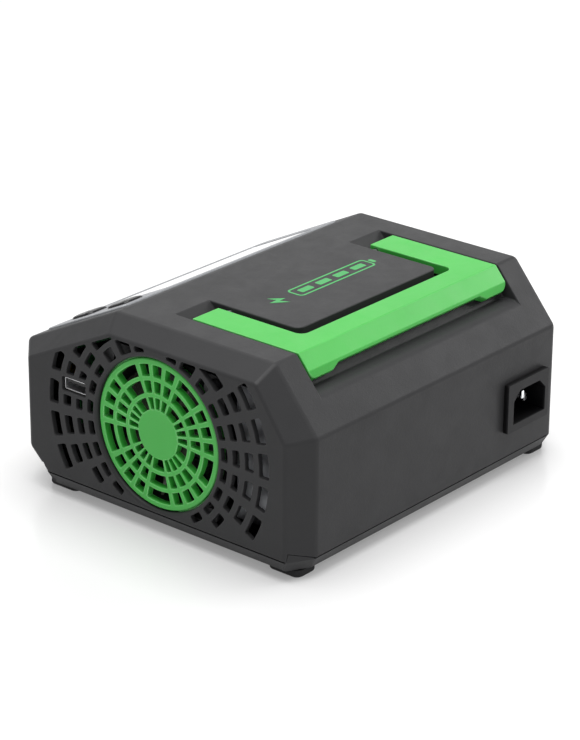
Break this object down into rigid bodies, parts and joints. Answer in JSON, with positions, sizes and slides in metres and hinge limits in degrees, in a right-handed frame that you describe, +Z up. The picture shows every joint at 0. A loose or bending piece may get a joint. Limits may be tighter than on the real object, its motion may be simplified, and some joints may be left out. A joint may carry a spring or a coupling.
{
  "type": "balance battery charger",
  "caption": "Mains-fed bench charger for model batteries: wedge-ended grey housing, fold-flat U handle, round fan grille, sloping control deck and rear mains inlet.",
  "frame": {"origin": "centre of the footprint on the surface it stands on", "axes": "+X towards the fan end, +Y towards the mains inlet at the back, -Y towards the control deck, +Z up"},
  "size_m": [0.197, 0.177, 0.0938],
  "materials": {
    "housing_grey": "satin moulded",
    "grip_green": "satin",
    "steel": "zinc plated",
    "bezel_silver": "satin silver paint",
    "lens": "gloss",
    "display_frame": "matte",
    "circuit_board": "solder mask",
    "black_plastic": "satin",
    "key_plastic": "satin",
    "rotor_plastic": "satin",
    "bright_metal": "bright",
    "inlet_plastic": "satin",
    "socket_yellow": "satin",
    "contact_brass": "polished",
    "socket_cream": "satin",
    "insulator": "matte",
    "ferrite": "matte ceramic",
    "winding_tape": "tape",
    "copper_winding": "enamelled wire",
    "heatsink_metal": "extruded",
    "capacitor_sleeve": "shrink sleeve",
    "foot_rubber": "matte"
  },
  "bodies": {
    "housing": {"ac_inlet": "inlet_plastic", "balance_socket_a": "socket_cream", "balance_socket_b": "socket_cream", "base_tray": "housing_grey", "buzzer": "black_plastic", "capacitor_1": "capacitor_sleeve", "capacitor_2": "capacitor_sleeve", "control_board": "circuit_board", "display_lens": "lens", "display_module": "display_frame", "fan_frame": "black_plastic", "fan_grille": "grip_green", "fan_screw_1": "steel", "fan_screw_2": "steel", "fan_screw_3": "steel", "fan_screw_4": "steel", "foot_back_fan_end": "foot_rubber", "foot_back_far_end": "foot_rubber", "foot_front_fan_end": "foot_rubber", "foot_front_far_end": "foot_rubber", "front_bezel": "bezel_silver", "front_board": "circuit_board", "handle_pin_fan_end": "steel", "handle_pin_far_end": "steel", "heatsink_1": "heatsink_metal", "heatsink_2": "heatsink_metal", "inlet_pin_earth": "bright_metal", "inlet_pin_live": "bright_metal", "inlet_pin_neutral": "bright_metal", "insulating_sheet": "insulator", "key_switch_1": "black_plastic", "key_switch_2": "black_plastic", "main_board": "circuit_board", "output_inductor": "copper_winding", "power_contact_a_minus": "contact_brass", "power_contact_a_plus": "contact_brass", "power_contact_b_minus": "contact_brass", "power_contact_b_plus": "contact_brass", "power_socket_a": "socket_yellow", "power_socket_b": "socket_yellow", "supply_shield": "heatsink_metal", "transformer_core": "ferrite", "transformer_winding": "winding_tape", "tray_screw_1": "steel", "tray_screw_2": "steel", "tray_screw_3": "steel", "tray_screw_4": "steel", "upper_shell": "housing_grey", "usb_shell": "bright_metal", "usb_tongue": "black_plastic"},
    "handle": {"carry_handle": "grip_green"},
    "key_upper": {"key_1": "key_plastic"},
    "key_lower": {"key_2": "key_plastic"},
    "fan": {"fan_rotor": "rotor_plastic"}
  },
  "joints": [
    {"name": "handle_pivot", "type": "hinge", "parent": "housing", "child": "handle", "pos_m": [0, 0.0052, 0.091], "axis": [1, 0, 0], "range_deg": [0, 95]},
    {"name": "key_upper_press", "type": "slide", "parent": "housing", "child": "key_upper", "axis": [0, 0.4408, -0.8976], "range_m": [0, 0.0012], "stiffness_N_per_m": 300},
    {"name": "key_lower_press", "type": "slide", "parent": "housing", "child": "key_lower", "axis": [0, 0.4408, -0.8976], "range_m": [0, 0.0012], "stiffness_N_per_m": 300},
    {"name": "fan_spin", "type": "hinge", "parent": "housing", "child": "fan", "pos_m": [0.0858, 0.0048, 0.0479], "axis": [1, 0, 0], "continuous": true}
  ]
}
